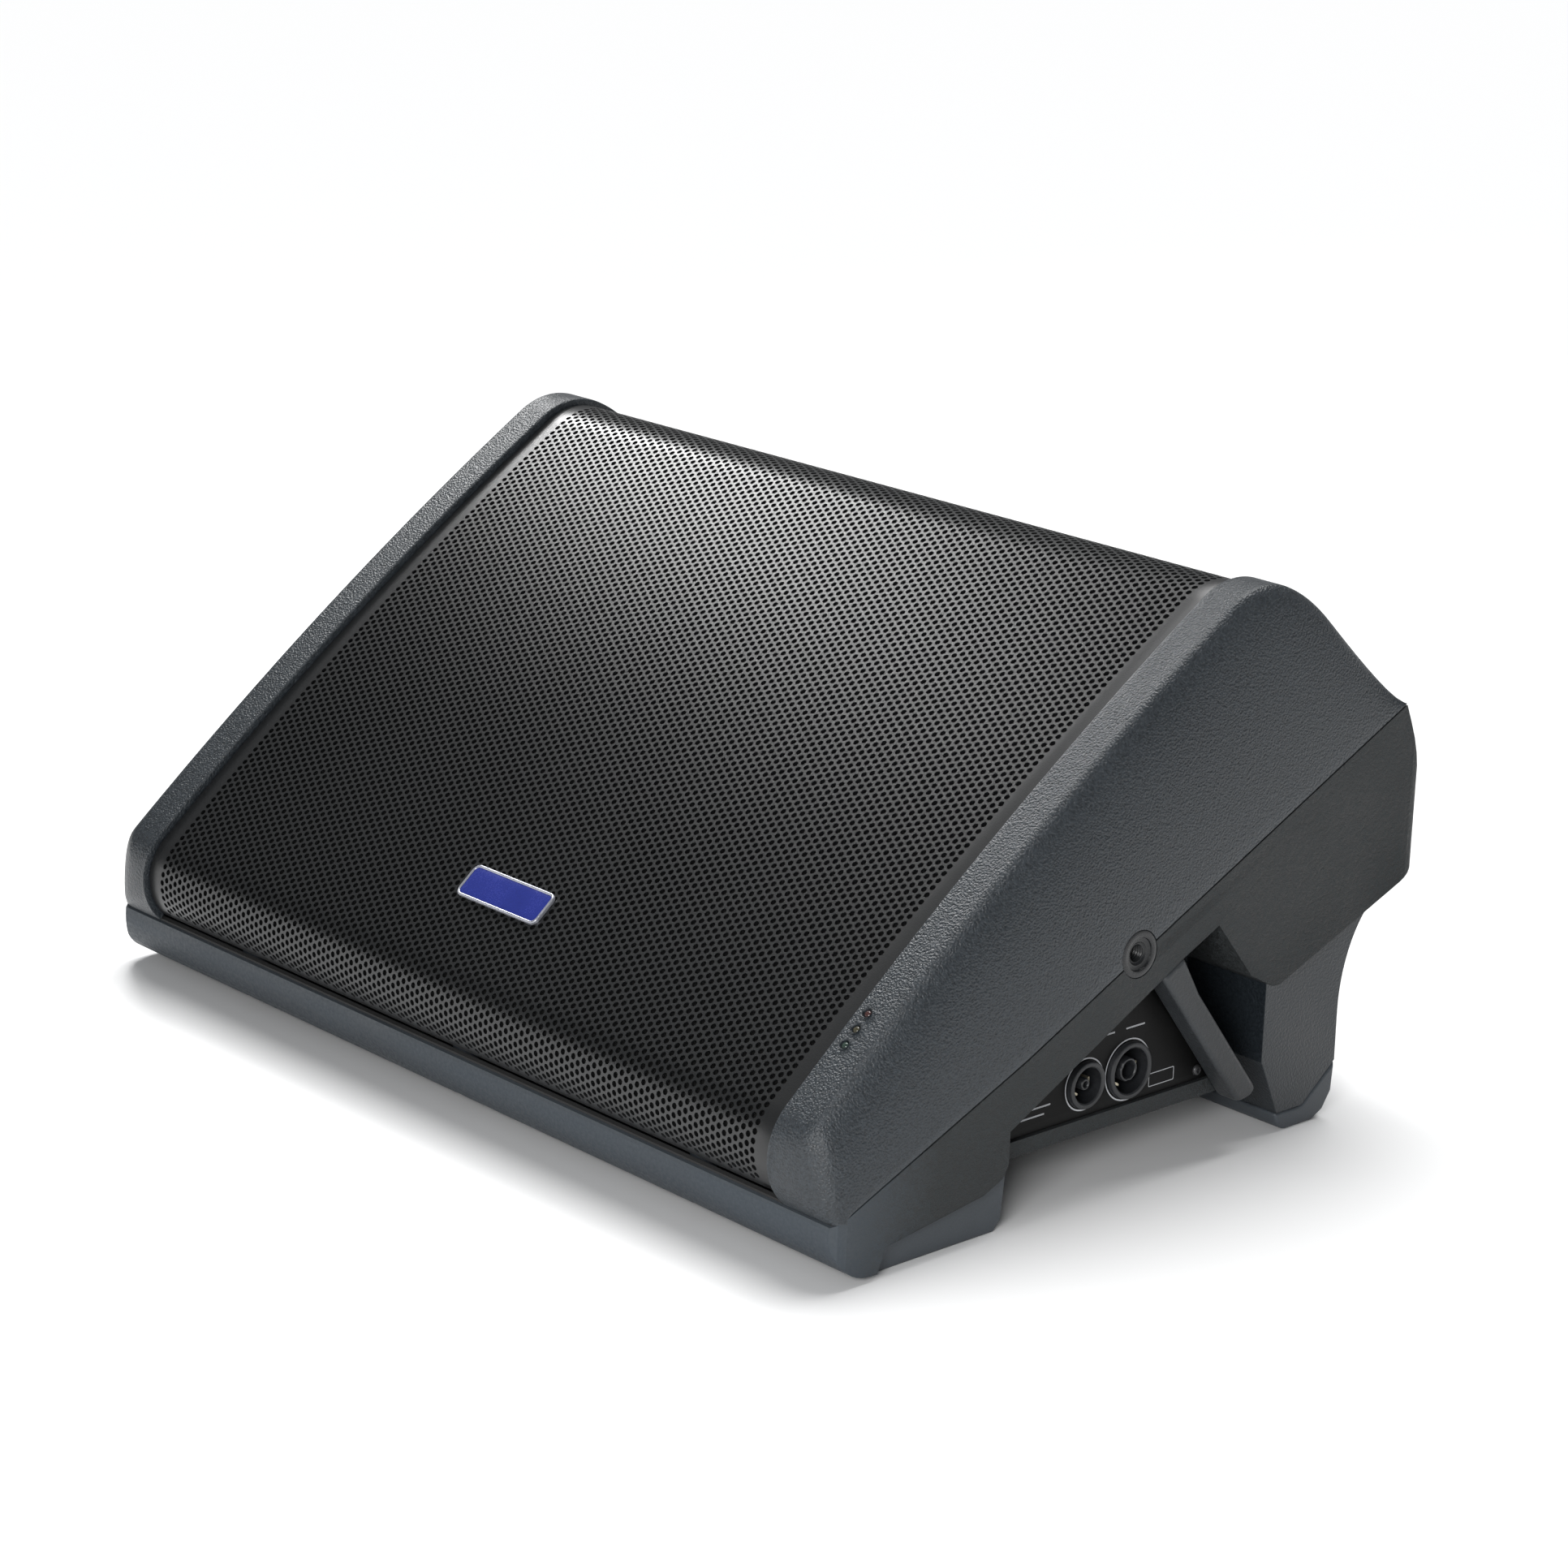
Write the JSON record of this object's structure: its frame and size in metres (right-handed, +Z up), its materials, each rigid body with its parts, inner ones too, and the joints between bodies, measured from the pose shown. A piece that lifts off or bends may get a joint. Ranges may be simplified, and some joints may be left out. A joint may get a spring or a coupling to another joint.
{
  "type": "stage monitor speaker",
  "caption": "Floor monitor wedge: two-shell moulded cabinet, curved perforated grille, coaxial driver inside, feet and side hand slots, recessed control panels.",
  "frame": {"origin": "centre of the bounding box's base, on the floor", "axes": "+X across the width to the mains side, -Y the way the grille's lower edge faces, +Z up"},
  "size_m": [0.57, 0.414, 0.2844],
  "materials": {
    "shell_upper": "fine leather grain, satin",
    "shell_lower": "coarse spark-eroded grain, matte",
    "seal": "closed-cell strip",
    "grille": "black powder coat",
    "foam": "open-cell acoustic foam",
    "badge": "blue, plain, polished",
    "led_green": "translucent lens",
    "led_yellow": "translucent lens",
    "led_red": "translucent lens",
    "circuit_board": "green solder mask",
    "foot": "smooth, hard",
    "socket": "turned insert",
    "screw": "black oxide",
    "basket": "cast, black",
    "cone": "pressed pulp, coated",
    "surround": "half roll",
    "spider": "resin-set corrugated cloth",
    "coil": "wound copper wire",
    "steel": "turned, zinc plated",
    "ferrite": "sintered",
    "horn": "moulded",
    "diaphragm": "thin metal dome",
    "panel": "black, gloss",
    "connector": "moulded",
    "xlr_metal": "black die casting",
    "latch": "stamped",
    "knob": "soft touch",
    "button": "grey caps",
    "part_body": "moulded component body",
    "transformer": "ferrite core, taped winding",
    "capacitor": "sleeved cans",
    "heat_sink": "extruded"
  },
  "bodies": {
    "cabinet": {"front_shell": "shell_upper", "rear_shell": "shell_lower", "shell_gasket": "seal", "grille": "grille", "grille_foam": "foam", "badge_plate": "badge", "power_led": "led_green", "signal_led": "led_yellow", "limit_led": "led_red", "led_board": "circuit_board", "front_foot_left": "foot", "front_foot_right": "foot", "rear_leg_left": "shell_lower", "rear_leg_right": "shell_lower", "side_strut_left": "shell_lower", "side_strut_right": "shell_lower", "rear_foot_left": "foot", "rear_foot_right": "foot", "side_socket_left": "socket", "side_socket_right": "socket", "shell_screws": "screw", "grille_screws": "screw", "woofer_basket": "basket", "woofer_gasket": "seal", "woofer_surround": "surround", "woofer_spider": "spider", "woofer_top_plate": "steel", "woofer_magnet": "ferrite", "woofer_yoke": "steel", "horn": "horn", "compression_driver": "part_body", "hf_magnet": "ferrite", "driver_screws": "screw", "port_tube_left": "horn", "port_tube_right": "horn", "mains_panel": "panel", "mains_inlet": "connector", "mains_outlet": "connector", "panel_screws": "screw", "power_supply_tray": "heat_sink", "power_supply_board": "circuit_board", "mains_transformer": "transformer", "reservoir_capacitors": "capacitor", "signal_panel": "panel", "input_xlr": "xlr_metal", "link_xlr": "xlr_metal", "volume_pot": "part_body", "preset_switch": "part_body", "button_switches": "part_body", "dsp_board": "circuit_board", "heat_sink": "heat_sink", "amplifier_board": "circuit_board"},
    "cone": {"woofer_cone": "cone", "voice_coil": "coil"},
    "tweeter_dome": {"hf_diaphragm": "diaphragm"},
    "volume": {"volume_knob": "knob"},
    "preset": {"preset_knob": "knob"},
    "mic_line": {"mic_line_button": "button"},
    "ground_lift": {"ground_lift_button": "button"},
    "latch": {"xlr_latch": "latch"}
  },
  "joints": [
    {"name": "cone_travel", "type": "slide", "parent": "cabinet", "child": "cone", "axis": [0, -0.6004, 0.7997], "range_m": [-0.004, 0.004], "stiffness_N_per_m": 3000, "deforming": ["woofer_surround", "woofer_spider"]},
    {"name": "tweeter_travel", "type": "slide", "parent": "cabinet", "child": "tweeter_dome", "axis": [0, -0.6004, 0.7997], "range_m": [-0.0003, 0.0003], "stiffness_N_per_m": 500},
    {"name": "volume_turn", "type": "hinge", "parent": "cabinet", "child": "volume", "pos_m": [-0.27, 0.012, 0.056], "axis": [-1, 0, 0], "range_deg": [-150, 150]},
    {"name": "preset_turn", "type": "hinge", "parent": "cabinet", "child": "preset", "pos_m": [-0.27, 0.037, 0.054], "axis": [-1, 0, 0], "range_deg": [-105, 105]},
    {"name": "mic_line_press", "type": "slide", "parent": "cabinet", "child": "mic_line", "axis": [1, 0, 0], "range_m": [0, 0.0015], "stiffness_N_per_m": 400},
    {"name": "ground_lift_press", "type": "slide", "parent": "cabinet", "child": "ground_lift", "axis": [1, 0, 0], "range_m": [0, 0.0015], "stiffness_N_per_m": 400},
    {"name": "latch_press", "type": "slide", "parent": "cabinet", "child": "latch", "axis": [1, 0, 0], "range_m": [0, 0.0015], "stiffness_N_per_m": 400}
  ]
}
